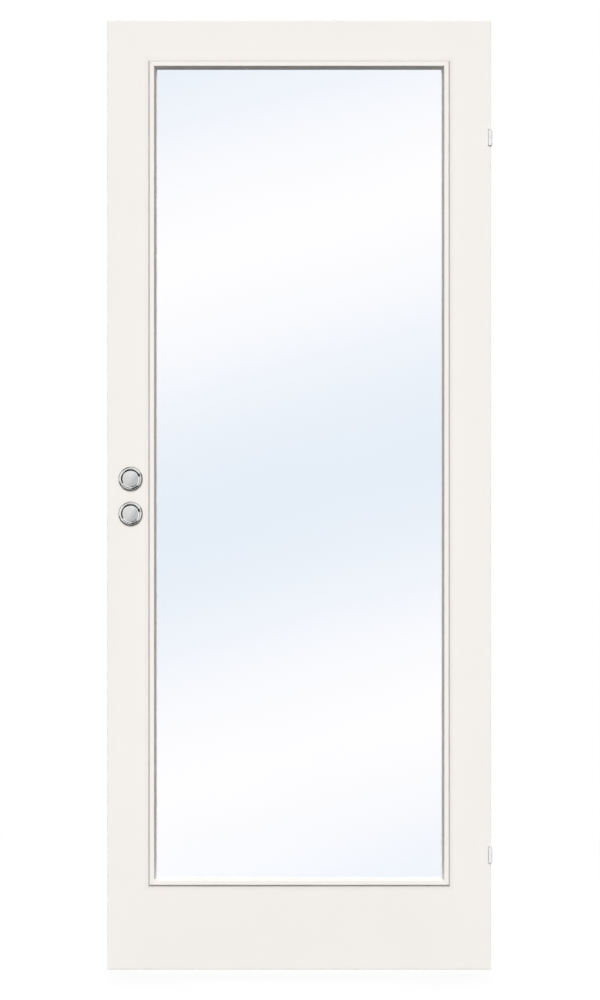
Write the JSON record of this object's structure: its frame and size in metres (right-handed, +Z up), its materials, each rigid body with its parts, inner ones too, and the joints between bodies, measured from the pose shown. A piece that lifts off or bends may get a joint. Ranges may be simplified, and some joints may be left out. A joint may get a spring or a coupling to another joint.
{
  "type": "glazed interior door leaf",
  "caption": "White painted interior door leaf with a full-height clear pane in mitred beads, round blank escutcheons, a flush lock and lift-off hinges that let it swing wide open.",
  "frame": {"origin": "on the jamb face of the lower hinge's plate, level with the middle of its barrel and in the middle of the leaf's thickness", "axes": "+X from the leaf's lock edge to the jamb, -Y to the front of the leaf, +Z up"},
  "size_m": [0.8276, 0.0512, 2.04],
  "materials": {
    "leaf_paint": "satin warm white paint on wood fibre sheet and timber",
    "bead_paint": "satin warm white paint on timber bead",
    "glass": "clear float glass with a faint cool tint",
    "seal": "white glazing seal",
    "ring_chrome": "polished chrome",
    "blank_chrome": "satin chrome",
    "lock_steel": "brushed nickel-plated steel",
    "hinge_white": "white lacquered steel",
    "pin_steel": "bright steel"
  },
  "bodies": {
    "jamb_hinges": {"lower_hinge_jamb_half": "hinge_white", "lower_hinge_pin": "pin_steel", "upper_hinge_jamb_half": "hinge_white", "upper_hinge_pin": "pin_steel"},
    "leaf": {"back_bead_bottom": "bead_paint", "back_bead_hinge_side": "bead_paint", "back_bead_lock_side": "bead_paint", "back_bead_top": "bead_paint", "back_facing": "leaf_paint", "back_handle_blank": "blank_chrome", "back_handle_ring": "ring_chrome", "back_key_blank": "blank_chrome", "back_key_ring": "ring_chrome", "back_seal": "seal", "bottom_rail": "leaf_paint", "dead_bolt": "lock_steel", "front_bead_bottom": "bead_paint", "front_bead_hinge_side": "bead_paint", "front_bead_lock_side": "bead_paint", "front_bead_top": "bead_paint", "front_facing": "leaf_paint", "front_handle_blank": "blank_chrome", "front_handle_ring": "ring_chrome", "front_key_blank": "blank_chrome", "front_key_ring": "ring_chrome", "front_seal": "seal", "hinge_stile": "leaf_paint", "latch_bolt": "lock_steel", "lock_body": "lock_steel", "lock_forend": "lock_steel", "lock_stile": "leaf_paint", "lower_hinge_leaf_half": "hinge_white", "pane": "glass", "top_rail": "leaf_paint", "upper_hinge_leaf_half": "hinge_white"}
  },
  "joints": [
    {"name": "leaf_swing", "type": "hinge", "parent": "jamb_hinges", "child": "leaf", "pos_m": [-0.004, -0.0212, 0], "axis": [0, 0, 1], "range_deg": [0, 180]}
  ]
}
